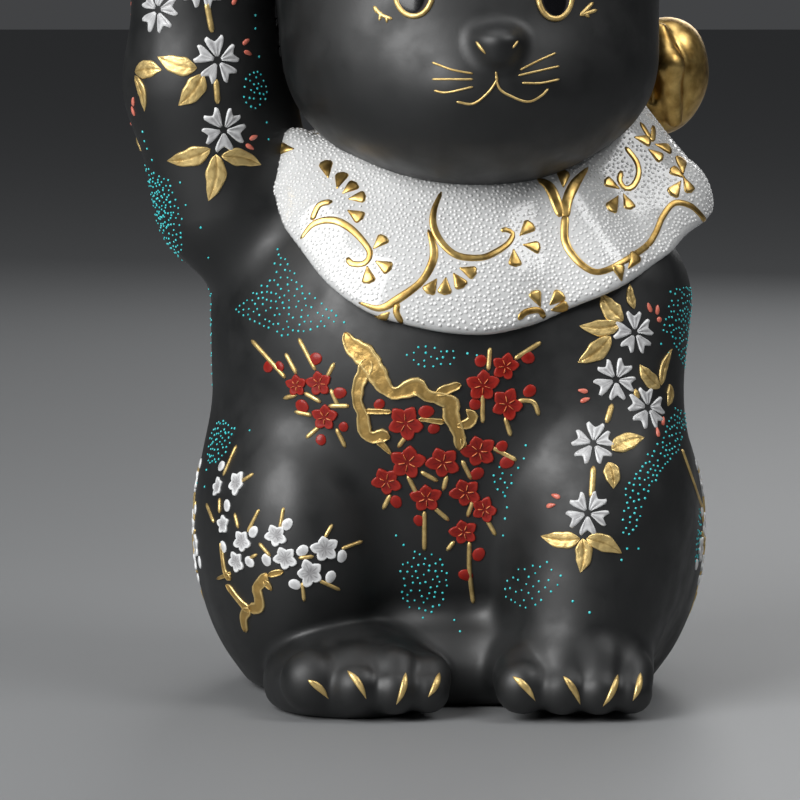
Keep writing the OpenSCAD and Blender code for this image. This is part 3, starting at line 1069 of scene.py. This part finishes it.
# Raised foreleg: cherry blossom, seen on its inner face
for place, turn in (((-77.5, 179.5), 80), ((-61.5, 166), 95), ((-60, 147.5), 60), ((-66, 186), 20)):
    cherry_blossom(silver, place, 6.4, turn)
leaves(
    gold_leaf,
    [
        ((-67, 164), (-77.5, 167), 5.4), ((-65.5, 162.5), (-72, 154), 5.8),
        ((-83.5, 163), (-76.5, 163.5), 5.2), ((-83.5, 162), (-81, 152.5), 3.0),
        ((-63.5, 142.5), (-75, 139.3), 5.4), ((-62, 141), (-64, 128.6), 5.8),
        ((-60.5, 140.5), (-50, 138.2), 4.8), ((-70, 196), (-78, 190), 5.2), ((-60, 197), (-55, 188), 4.8),
    ],
)
twigs(
    gold_leaf, [((-64.5, 181.5), (-63, 173.5)), ((-62, 161), (-61.5, 154.5)), ((-68, 199), (-67, 192))], 2.0
)
coral_buds(
    (
        (-54, 171, 30), (-53.5, 168, -20), (-52, 145.5, 20), (-53, 143, -30), (-84, 155, 70),
        (-84, 152.5, 95), (-57, 182, 60), (-56, 185, 20),
    )
)

# Lowered foreleg: cherry blossom
for place, turn in (
    ((49.5, 93.5), 20), ((44.5, 81), 55), ((38.5, 64), 90), ((37, 45.5), 55), ((53, 73.5), 10),
):
    cherry_blossom(silver, place, 5.9, turn)
leaves(
    gold_leaf,
    [
        ((46.4, 96.7), (40.6, 104), 5.6), ((45.6, 95.7), (34.8, 95.3), 4.7),
        ((43, 92.6), (34.4, 85.6), 5.3), ((49.4, 99.9), (48.2, 106.5), 2.5),
        ((56.2, 78.9), (50.9, 85), 4.6), ((56.5, 79.5), (59.4, 89.2), 2.7), ((58.7, 79.8), (58.3, 74), 3),
        ((43.4, 62.3), (52, 65.6), 5.2), ((42.4, 59), (43.8, 52), 4.6), ((35, 38.7), (24.5, 39.4), 4.8),
        ((35.6, 38.7), (35, 29.6), 4.8), ((36.6, 38.7), (46, 34.8), 4.8),
    ],
)
twigs(gold_leaf, [((49.5, 78.5), (50.5, 76)), ((43.5, 74.5), (42, 69.5)), ((38.5, 58), (38, 49.5))], 2.0)
coral_buds(
    (
        (53.4, 100.2, 105), (55.5, 99.6, 75), (56, 97, 0), (35.7, 78, 170), (36.3, 75.6, 20),
        (28.5, 50, 165), (27.2, 47.5, 15), (57, 70, 60), (55.6, 67, 80),
    )
)

# Chest: red plum on an old branch
RED_PLUM = (
    (-40.5, 79.5, 2.8), (-34.5, 80, 3.2), (-33, 71, 3.3), (15, 84.5, 3.3), (9, 79.5, 3.9),
    (15.5, 74.5, 3.9), (-11.5, 69.5, 4.3), (-11, 59, 4.3), (-1.5, 59, 4), (8, 62, 4.1), (4.5, 51, 3.7),
    (-16.5, 54, 3.6), (-6, 49.5, 3.7), (9.5, 46.5, 3.2), (4, 40.5, 3.3),
)
for u, v, r in RED_PLUM:
    turn = rng.uniform(0, 72)
    plum_blossom(red, (u, v), r * 1.08, turn)
    for k in range(5):
        angle = math.radians(turn + 36 + 72 * k)
        c, s = r * math.cos(angle), r * math.sin(angle)
        ends = [(u + 0.12 * c, v + 0.12 * s), (u + 0.6 * c, v + 0.6 * s)]
        stroke(red_line, ends, 0.32, tall=0.72, across=5)
RED_BUDS = (
    (-48, 84.5), (-45, 84.5), (-35.5, 86.5), (-39, 74), (-29, 77.5), (-28, 68.5), (-34, 65),
    (-18.5, 74.5), (8.5, 86), (21, 87), (21.5, 78), (7, 74.5), (-6, 72.5), (-4, 68), (14, 63), (15.5, 59),
    (7.5, 56), (-14, 48.5), (-8, 43.5), (8, 34.5), (4.5, 29),
)
for place in RED_BUDS:
    bud(red, place, rng.uniform(1.3, 1.7), rng.uniform(1.05, 1.3))
TRUNK = (
    (
        (-27.4, 93.6, 1.5), (-26, 90.4, 5), (-22, 87, 6.2), (-19.6, 83.5, 6), (-17.5, 79.7, 4.6),
        (-14.8, 77.4, 3.6), (-11.9, 78, 4), (-8.7, 79.1, 5.4), (-5.8, 76.8, 3.3), (-2.7, 76.1, 3.4),
        (0.4, 74.6, 5.2), (0.6, 71.5, 4.4), (2, 68.3, 3.8), (2.9, 65.4, 3.6), (2.5, 62.4, 2.2),
    ),
    ((-3.4, 77.3, 2.6), (0, 78.6, 2.6), (3.2, 79.8, 2.2)),
    ((-1.4, 69.8, 1.8), (-8, 70.6, 0.8)),
    ((2.2, 68.8, 2.2), (5.2, 69.4, 2.8), (6.4, 71.2, 2.8), (4.6, 73.1, 1.2)),
    ((3.4, 65.5, 2), (4.3, 63.2, 1.6)),
    (
        (-21.4, 86.4, 4.6), (-22.4, 83.2, 4.4), (-24, 79.4, 3.4), (-24.2, 75, 3), (-22.9, 71.9, 3.2),
        (-22.6, 69.1, 4), (-22, 66.8, 3.8), (-20, 65.6, 3.4), (-17.6, 66.2, 3.8), (-15.6, 65.6, 2.4),
    ),
    ((-18.8, 65.2, 2.6), (-15.2, 61.2, 0.6)),
    ((-22, 72.7, 1.8), (-15.2, 72.5, 1.0)),
)
for points in TRUNK:
    stroke(gold_leaf, points, tall=0.85, knobbly=0.13, across=13)
twigs(
    gold_leaf,
    [
        ((-52.5, 91.5), (-43.5, 81.5)), ((-43.5, 88), (-40.5, 82.5)), ((-40, 92), (-35.5, 83.5)),
        ((-30.5, 85.5), (-32.5, 81.5)), ((-44, 76), (-40.5, 77)), ((-38.5, 77.5), (-34, 75)),
        ((-31.5, 78.5), (-29.5, 74)), ((-32, 74), (-26.5, 74)), ((-41, 72.5), (-36.5, 71.5)),
        ((-34.5, 68.5), (-38, 65.5)), ((-30, 68), (-27.5, 63)), ((11, 89.5), (10.5, 83.5)),
        ((24.5, 91), (17.5, 86.5)), ((18.5, 75.5), (22.5, 75), (24, 71.5)), ((9, 77.5), (9, 69.5)),
        ((15, 71), (16.5, 66)), ((11.5, 63), (18, 59.5)), ((3.5, 59.5), (6, 54.5)),
        ((-11, 66.5), (-13.5, 63)), ((-7.5, 56.5), (-3, 54)), ((-11, 55.5), (-8.5, 50.5)),
        ((-0.5, 55.5), (-1.5, 51.5)), ((-15.5, 50.5), (-17.5, 46.5)), ((-4, 47), (0, 43.5)),
        ((-6.5, 46), (-6.5, 35.5)), ((6.5, 49), (5, 44.5)), ((10, 44), (12.5, 39.5)),
        ((1.5, 38), (-0.5, 35.5)), ((5.5, 38), (5.5, 30.5), (6.5, 21.5)),
    ],
)

# Right haunch: white plum
for u, v, r in (
    (-56.5, 53.5, 2.9), (-61.5, 52.5, 2.3), (-60, 42.5, 2.4), (-55, 38, 2.8), (-56.5, 32.5, 2.7),
    (-46, 39.5, 2.8), (-43.5, 33.5, 2.9), (-33, 36, 3.3), (-37, 29.5, 3.3),
):
    plum_blossom(silver, (u, v), r * 1.08)
for place in (
    (-52, 40.5), (-43, 42.5), (-53, 32.5), (-48.5, 33), (-39, 35.5), (-28.5, 34), (-41, 26.5),
    (-31.5, 28.5), (-59, 47.5), (-60.5, 58), (-60, 36.5),
):
    bud(silver, place, 1.4)
for points in (
    ((-54, 14, 2.4), (-54.5, 18, 2.9), (-53, 20, 5.3)),
    (
        (-53, 20, 4.8), (-50.5, 20.5, 3.7), (-50.5, 23, 3.2), (-51, 25.5, 3.2), (-49.5, 27.5, 3.5),
        (-48.5, 29.5, 3.2),
    ),
    ((-48, 29, 2.1), (-44, 30, 1.6)), ((-49, 27.5, 2.4), (-47, 25, 1.1)),
    ((-53, 19.5, 3.7), (-55.5, 22, 2.1), (-59, 26.5, 2.1)),
    ((-58, 28, 2.9), (-59.5, 30, 1.6), (-60.5, 37.5, 1.1)), ((-58, 29.5, 1.6), (-61.5, 28, 0.8)),
):
    stroke(gold_leaf, points, tall=0.55, knobbly=0.08, across=11)
twigs(
    gold_leaf,
    [
        ((-56.5, 63.5), (-60, 55.5)), ((-52, 56), (-55, 54)), ((-57, 45.5), (-56, 41.5)),
        ((-50.5, 46.5), (-53.5, 40.5)), ((-44, 47), (-45, 41.5)), ((-50.5, 37.5), (-47.5, 34)),
        ((-51, 34.5), (-53, 33.5)), ((-31, 42.5), (-33, 39)), ((-23, 38), (-28.5, 36)),
        ((-40, 33.5), (-36, 34)), ((-39, 27), (-38.5, 22)), ((-34.5, 27.5), (-29, 25)),
        ((-64.5, 48), (-62.5, 43)), ((-61, 49.5), (-61, 45.5)), ((62, 62.5), (65, 54), (67.5, 46.5)),
    ],
    1.3,
)

# Sides and back: smaller sprays of the same flowers
side_gold, side_silver, side_red, side_coral = [], [], [], []


def pen(sheet, pens):
    """A new enamel on a sheet, kept with others of its finish."""
    pens.append(Enamel(sheet))
    return pens[-1]


def plum_spray(sheet, u, v, flip, blooms, scale=1.0):
    """A gilt branch that grows from (u, v), with plum blossom kept in blooms."""
    gold_pen, flowers = pen(sheet, side_gold), pen(sheet, blooms)

    def at(row):
        return (u + flip * scale * row[0], v + scale * row[1], *row[2:])

    for points in (
        ((0, 0, 2.4), (1.5, 6, 4), (-1, 12, 4), (2, 17, 3.4), (7, 21, 3), (12, 22, 1.6)),
        ((-1, 12, 3), (-6, 17, 2.4), (-8, 25, 1.8), (-6, 33, 1)),
        ((2, 17, 2.4), (1, 25, 1.8), (4, 33, 1)),
        ((1, 5, 2.4), (5, 8, 1)),
    ):
        stroke(gold_pen, [at(q) for q in points], tall=0.55, knobbly=0.08, across=11)
    ends = (
        ((11, 22), (17, 25)), ((-7.5, 24), (-13, 28)), ((4, 32), (7, 41)), ((7, 21), (10, 13)),
        ((-6, 32), (-9, 40)), ((14, 27), (14, 32)),
    )
    twigs(gold_pen, [[at(q) for q in points] for points in ends], 1.3)
    for x, y, r in (
        (11, 26, 3.2), (18, 21, 3), (8, 15.5, 2.9), (-9.5, 28, 3), (-3, 23, 2.8), (5, 36, 3.1),
        (-5, 37, 2.7),
    ):
        plum_blossom(flowers, at((x, y)), r * 1.08)
    for place in ((15, 30), (22, 17.5), (-13, 23.5), (8.5, 41), (0, 31), (-9.5, 34), (12, 12)):
        bud(flowers, at(place), 1.4)


def cherry_spray(sheet, u, v, flip):
    """Three cherry blossoms one above another, with leaves and coral buds."""
    gold_pen, flowers, buds = (pen(sheet, pens) for pens in (side_gold, side_silver, side_coral))

    def at(row):
        return (u + flip * row[0], v + row[1])

    for x, y, turn in ((0, 0, 30), (-4, 15, 60), (3, 29, 80)):
        cherry_blossom(flowers, at((x, y)), 5.8, turn)
    for base, tip, width in (
        ((-0.5, -7), (-10.5, -6), 4.8), ((0, -7), (1, -16), 4.8), ((1, -7), (10, -10.5), 4.8),
        ((2.5, 14), (11, 17), 4.8), ((2, 12), (6, 5.5), 4.2), ((-3, 26), (-11.5, 28.5), 4.8),
        ((3, 36), (5, 45), 4.6), ((1.5, 36), (-5.5, 41.5), 4.2),
    ):
        leaf(gold_pen, at(base), at(tip), width)
    twigs(gold_pen, [[at((-2, 5)), at((-3.5, 9))], [at((-1.5, 20)), at((0.5, 23.5))]], 2.0)
    for x, y, angle in ((-9, 6, 150), (-8, 3.8, 180), (9, 27, 20), (9.5, 30, 45), (9, -3, 10)):
        bud(buds, at((x, y)), 0.62, 2.2, angle)


on_left, on_right, on_back, on_arm = (Sheet(porcelain, a, 0, (0, 0, 80)) for a in (90, 270, 180, 235))
plum_spray(on_left, 0, 13, -1, side_silver, 1.1)
cherry_spray(on_left, 22, 88, 1)
plum_spray(on_right, -4, 13, 1, side_silver, 1.1)
cherry_spray(on_arm, 46, 156, 1)
plum_spray(on_back, 16, 44, -1, side_red, 1.25)
cherry_spray(on_back, -34, 48, -1)
cherry_spray(on_back, 41, 40, 1)

# Claws and face
for base, tip in (
    ((-37.5, 1), (-32, -4)), ((-27, 3.5), (-22, -4)), ((-11.5, 3), (-14, -5.5)),
    ((-2.5, 3), (-5.5, -3.5)), ((17, 2), (23, -4.5)), ((30.5, 2), (35, -5.5)), ((45, 2.5), (41, -6)),
    ((51, 3), (49, -4.5)),
):
    leaf(gold_claw, base, tip, 2.1, veins=False, across=7)
for points in (
    ((-4.5, 165.5), (1, 163.5), (6.5, 162.5)), ((-4.5, 161), (6.5, 161)),
    ((-4, 158), (-0.5, 157.5), (6.5, 159)), ((19, 163.5), (24, 166), (28.5, 168)),
    ((18.5, 162), (29.5, 164.5)), ((19.5, 160), (24.5, 160), (29.5, 161)),
):
    stroke(gold_claw, points, 0.75, tall=0.3, across=5)
for points in (
    ((12.5, 163), (13, 160.5)), ((13, 161), (10.5, 157.5), (6.5, 154.5), (2, 155)),
    ((12.5, 162), (13.5, 158.5), (16.5, 156.5), (21, 155), (24.5, 156.5), (26.5, 158.5)),
    ((7.2, 171, 0.9), (8.4, 169.4, 1.4), (9.8, 167.8, 0.9)), ((18.4, 171.2), (17, 169.3)),
):
    stroke(gold_claw, points, 0.85, tall=0.3, across=5)
for points in (
    ((-20, 180.5), (-18, 178.2), (-15, 177)), ((-20, 180.5), (-19, 178.5)), ((-18, 179), (-18.5, 176.5)),
    ((-16.5, 178), (-16.5, 176)), ((35, 178), (38.5, 181.5)), ((35, 178), (39.5, 179.5)),
    ((36, 178.5), (37.5, 177.5)),
):
    stroke(gold_claw, points, 1.3, tall=0.35, across=5)

EYE_HEIGHT = 0.75  # mm
eyes = {"left_eye": Enamel(on_black), "right_eye": Enamel(on_black)}
for enamel, centre, half in (
    (eyes["right_eye"], (-9.3, 184.1), (4.7, 6)),
    (eyes["left_eye"], (28.3, 183.6), (4.3, 6.2)),
):
    x, y = RINGS * half[0] * np.cos(ROUND), RINGS * half[1] * np.sin(ROUND)
    pupil = np.hypot((x + 0.12 * half[0]) / half[0], (y + 0.16 * half[1]) / half[1])
    height = np.where(RINGS == 1.0, SINK, EYE_HEIGHT * np.sqrt(1 - RINGS**2 * 0.85))
    disc_patch(enamel, centre, x, y, height, pupil)
    around = [
        (centre[0] + 1.05 * half[0] * math.cos(a), centre[1] + 1.05 * half[1] * math.sin(a))
        for a in np.linspace(0, 2 * math.pi, 17)
    ]
    stroke(gold_claw, around, 1.7, tall=0.75, taper=(1, 1), across=7)

# Fine turquoise dots: clouds of corners and the distance between dots, then single dots
TURQUOISE_CLOUDS = (
    (oval((-51.6, 158), (3.2, 5.2)), 1.3),
    ([(-81.5, 138), (-74, 134), (-71, 124), (-71, 112), (-73.5, 107), (-79, 112), (-83, 128)], 1.3),
    ([(-45.5, 116), (-47.5, 108), (-57.5, 99.5), (-44, 92.5), (-26.5, 96.5), (-37, 104)], 1.5),
    ([(-12, 88), (-7, 84), (1, 84.5), (2, 88.5), (-4, 90), (-9, 90)], 1.45),
    (oval((14.5, 54.5), (2.8, 3.8)), 1.45),
    ([(-13, 32), (-9, 35.5), (-3, 34.5), (0.5, 28), (-1.5, 20.5), (-7, 17.5), (-12.5, 22)], 1.4),
    (oval((22.5, 26.5), (8, 6), 25), 2.0),
    (
        [
            (60, 73.5), (64.5, 72), (61, 62), (56.5, 56), (52.5, 50), (49.5, 39), (46, 40), (47, 52),
            (52, 60), (57, 66),
        ],
        1.25,
    ),
    ([(59, 105), (66, 106), (66, 86), (62.5, 84), (60.5, 90), (57, 94)], 1.2),
    ([(-66, 106), (-63.2, 104), (-63, 80), (-66, 78)], 1.8),
)
TURQUOISE_DOTS = (
    (-51.5, 178), (-51.5, 174.5), (-50.5, 167), (-48.5, 149.5), (-48, 145), (-81.5, 147), (-81, 144.5),
    (-80.3, 142.5), (-79, 139.5), (-71.5, 133.5), (-70, 127.5), (-66, 121.5), (-64, 113.5), (5, 88),
    (7.5, 87.5), (20.5, 63.5), (20, 60), (18.5, 57.5), (15, 50), (15.5, 47), (15, 44), (14.5, 39.5),
    (-14, 39.5), (-12, 37), (1.5, 17), (3, 14), (37.5, 19), (33, 22), (56.5, 90.5), (58.5, 88),
    (58, 86.5), (-60, 70), (-53, 67.5), (-57, 68), (-59.5, 67), (-62, 65), (-63, 64), (-63.5, 60.5),
    (-64.5, 57), (-65, 52.5), (-67, 53.5), (47.5, 36), (50.5, 36), (46, 33),
)
# The same flowers' clouds on the sides and back: sheet and corners
SIDE_CLOUDS = (
    (on_back, oval((16, 30), (11, 6))), (on_back, oval((-4, 60), (9, 5))),
    (on_left, oval((12, 70), (8, 5))), (on_left, oval((-24, 40), (5, 8))),
    (on_right, oval((22, 66), (9, 6))), (on_right, oval((14, 132), (5, 8))),
)
CLOUD_DOT, SINGLE_DOT, SIDE_SPACING = (0.33, 0.24), (0.36, 0.24), 1.45  # radius and height, mm
DOT_MISS = 1.2  # mm, a dot in front that passes further than this from the porcelain is left out
ready = []
for corners, spacing in TURQUOISE_CLOUDS:
    p, n, miss = on_black.carry(patch(corners))
    p, n = p[miss < DOT_MISS], n[miss < DOT_MISS]
    kept = thin(p, spacing)
    ready.append(domes(p[kept], n[kept], *CLOUD_DOT))
p, n, miss = on_black.carry(TURQUOISE_DOTS)
ready.append(domes(p[miss < DOT_MISS], n[miss < DOT_MISS], *SINGLE_DOT))
for sheet, corners in SIDE_CLOUDS:
    p, n, _ = sheet.carry(patch(corners))
    kept = thin(p, SIDE_SPACING)
    ready.append(domes(p[kept], n[kept], *CLOUD_DOT))
enamel_object("turquoise_dots", TURQUOISE, ready=ready)

# Bib: gilt scrolls, petal dabs, and white dots over the rest
DAB = dict(veins=False, rows=11, across=9, profile=wedge, bend=0)
SIDE_SCROLL = ((-8, -5), (-6, 1), (-1, 3.5), (4, 2), (5.5, -1.5), (3, -3), (1.5, -1.5))
scrolls = Enamel(on_bib)
for points in (
    (
        (-39.5, 118.5, 1.2), (-36, 122.5), (-31, 123.5, 2.6), (-26.5, 121.5, 2.5), (-22.5, 117.5),
        (-21, 114.5), (-22.5, 112), (-26, 112), (-27, 113.5),
    ),
    ((-31, 128.5), (-34.5, 127.5), (-36.5, 123.5)),
    (
        (-2, 131, 1.2), (-4, 126, 2), (-4, 121.5, 2.4), (-1.5, 117, 2.3), (2.5, 114, 2.4),
        (8.5, 113.5, 2.2), (12.5, 115, 2.2), (16, 117.5, 1.9), (17, 120, 1.7), (15, 121, 1.9),
        (14, 120.5, 1.6),
    ),
    (
        (-5.5, 121, 1.2), (-4, 116, 2.6), (-4.5, 112, 2.7), (-7.5, 107, 2.4), (-13.5, 102.5, 2.8),
        (-18.5, 100, 2.2), (-24, 101.5, 0.8),
    ),
    ((-13.5, 101.5), (-14, 99), (-12.5, 96)),
    ((23.5, 134.5, 1.6), (27, 132, 3.6), (30, 124.5, 3.2)),
    ((37, 137.5, 1.2), (33.5, 133, 3.4), (31.5, 128.5, 3.4), (31, 124, 3)),
    (
        (31, 125, 2.6), (31, 118, 2.6), (34, 113, 2.4), (38, 110), (41.5, 110), (46.5, 112.5),
        (52.5, 116.5), (55, 120), (57, 124.5), (60, 128), (64, 127.5), (66.5, 125.5), (68.5, 123),
    ),
    ((47, 143), (50, 139), (50.5, 135.5), (49, 132.5), (47, 132), (45.5, 134), (46, 136.5)),
    ((51, 149.5), (54, 145), (54.5, 148.5)),
    ((18.5, 97), (20.5, 99), (24, 99.5), (25.5, 97.5)),
):
    stroke(scrolls, points, 2.1, tall=0.34, taper=(0.4, 0.6), across=7)
for centre, petals in (
    ((-22, 114), ((-18.5, 117.5), (-17.5, 111.5), (-21.5, 109))),
    ((-31, 128.5), ((-29, 134), (-26.5, 132), (-24.5, 129.5), (-25, 125), (-32.5, 137))),
    ((17, 117.5), ((20.5, 121), (22, 116.5), (17.5, 113.5))),
    ((-0.5, 112), ((5, 110), (2.5, 107.5), (-1, 106), (-4.5, 106))),
    ((46, 131.5), ((43.5, 133), (44, 128), (47.5, 128.5))),
    ((48, 146), ((51.5, 145), (57, 143), (55, 141))),
    ((62.5, 135), ((61, 136), (62, 138), (60.5, 132), (63.5, 133))),
    ((25, 99), ((23.5, 102.5), (28.5, 102.5), (29.5, 100))),
    ((46, 107.5), ((45.5, 109.5), (49, 112.5))),
    ((-13.5, 101), ((-17.5, 97.5),)),
    ((30.5, 131.5), ((30.5, 134.5),)),
    ((-41, 142.5), ((-43.5, 142.5),)),
):
    for petal in np.array(petals, float):
        ahead = (petal - centre) / np.linalg.norm(petal - centre)
        leaf(scrolls, petal - 2.3 * ahead, petal + 2.5 * ahead, 4.2, 0.45, **DAB)
side_scrolls = []
for azimuth, u, v, flip in ((90, 14, 142.5, 1), (180, 26, 143, 1), (270, 2, 141, -1)):
    scroll = pen(Sheet(bib, azimuth, 0, (0, 0, 120)), side_scrolls)
    stroke(scroll, [(u + flip * x, v + y) for x, y in SIDE_SCROLL], 1.9)
    for x, y, tx, ty in ((6, 1.5, 9, 4), (6.5, -1, 10.5, -1.5), (5, -3.5, 7.5, -6.5)):
        leaf(scroll, (u + flip * x, v + y), (u + flip * tx, v + ty), 3.4, 0.6, **DAB)
gilt_scrolls = enamel_object("bib_scrolls", GOLD_LUSTRE, [scrolls, *side_scrolls])


def spread_dots(verts, faces, avoid, clear, spacing, keep):
    """Evenly spread points on a skin, clear of the points in avoid."""
    a, b, c, d = (verts[faces[:, k]] for k in range(4))
    area = np.linalg.norm(np.cross(c - a, d - b), axis=1) / 2
    count = int(area.sum() / spacing**2 * 8)
    pick = rng.choice(len(faces), count, p=area / area.sum())
    u, v = rng.uniform(size=(2, count, 1))
    places = (a[pick] * (1 - u) + b[pick] * u) * (1 - v) + (d[pick] * (1 - u) + c[pick] * u) * v
    places = places[keep(places)]
    tree = kdtree.KDTree(len(avoid))
    for i, q in enumerate(avoid):
        tree.insert(q, i)
    tree.balance()
    places = np.array([q for q in places if tree.find(q)[2] >= clear])
    return places[thin(places, spacing)]


BIB_DOT_SPACING, BIB_DOT_CLEAR = 1.03, 0.75  # mm
BIB_DOT = (0.48, 0.22)  # radius and height, mm


def outer_bib(p):
    """Where the bib faces away from the body."""
    return (slope(cape, p, 0.5) * slope(bib, p, 0.5)).sum(1) > 0.6


gilt = np.array([v.co for v in gilt_scrolls.data.vertices]) / MM
dot_places = spread_dots(bib_verts, bib_faces, gilt, BIB_DOT_CLEAR, BIB_DOT_SPACING, outer_bib)
p, n = settle(bib, dot_places)
enamel_object("bib_dots", WHITE_DOT, ready=[domes(p, n, *BIB_DOT)])

enamel_object("gold_leaf_sprays", GOLD_LEAF, [gold_leaf, *side_gold])
claws = enamel_object("gilt_lines_and_claws", GOLD_LEAF, [gold_claw])
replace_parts(claws, "gilt_claws")
enamel_object("silver_blossoms", SILVER, [silver, *side_silver])
enamel_object("red_plum_blossoms", RED, [red, *side_red])
enamel_object("red_plum_lines", RED_LINE, [red_line])
enamel_object("coral_buds", CORAL, [coral, *side_coral])
for name, enamel in eyes.items():
    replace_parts(enamel_object(f"{name}_glaze", EYE, [enamel]), name)

# ---------------------------------------------------------------- floor, light and camera
scene = bpy.context.scene


def aim(obj, target):
    obj.rotation_euler = (Vector(target) - obj.location).to_track_quat("-Z", "Y").to_euler()


floor_mesh = bpy.data.meshes.new("floor")
floor_mesh.from_pydata([(-6, -6, 0), (6, -6, 0), (6, 6, 0), (-6, 6, 0)], [], [(0, 1, 2, 3)])
floor = bpy.data.objects.new("floor", floor_mesh)
scene.collection.objects.link(floor)
floor_mesh.materials.append(Paint("floor", (0.24, 0.245, 0.25), 0.55).material)

for name, place, size, watts, target in (
    ("key", (-0.80, -0.80, 0.75), 0.9, 19, (0, 0, 0.12)),
    ("fill", (0.7, -0.35, 1.0), 0.50, 4.2, (0, 0, 0.12)),
    ("top", (0.0, 0.05, 1.1), 0.7, 3, (0, 0, 0.1)),
    ("back", (0.3, 1.1, 0.6), 0.6, 3, (0, 0, 0.12)),
):
    light = bpy.data.lights.new(name, "AREA")
    light.size = size
    light.energy = watts
    lamp = bpy.data.objects.new(name, light)
    lamp.location = place
    scene.collection.objects.link(lamp)
    aim(lamp, target)

world = bpy.data.worlds.new("studio")
scene.world = world
world.use_nodes = True
world.node_tree.nodes["Background"].inputs["Color"].default_value = (0.42, 0.43, 0.45, 1)
world.node_tree.nodes["Background"].inputs["Strength"].default_value = 0.13
scene.view_settings.view_transform = "Standard"

camera = bpy.data.objects.new("camera", bpy.data.cameras.new("camera"))
camera.data.sensor_width = 36
camera.data.lens = 36 * VIEW_DISTANCE / VIEW_WIDTH
camera.location = Vector(on_black.eye * MM)
scene.collection.objects.link(camera)
aim(camera, VIEW_TARGET * MM)
scene.camera = camera
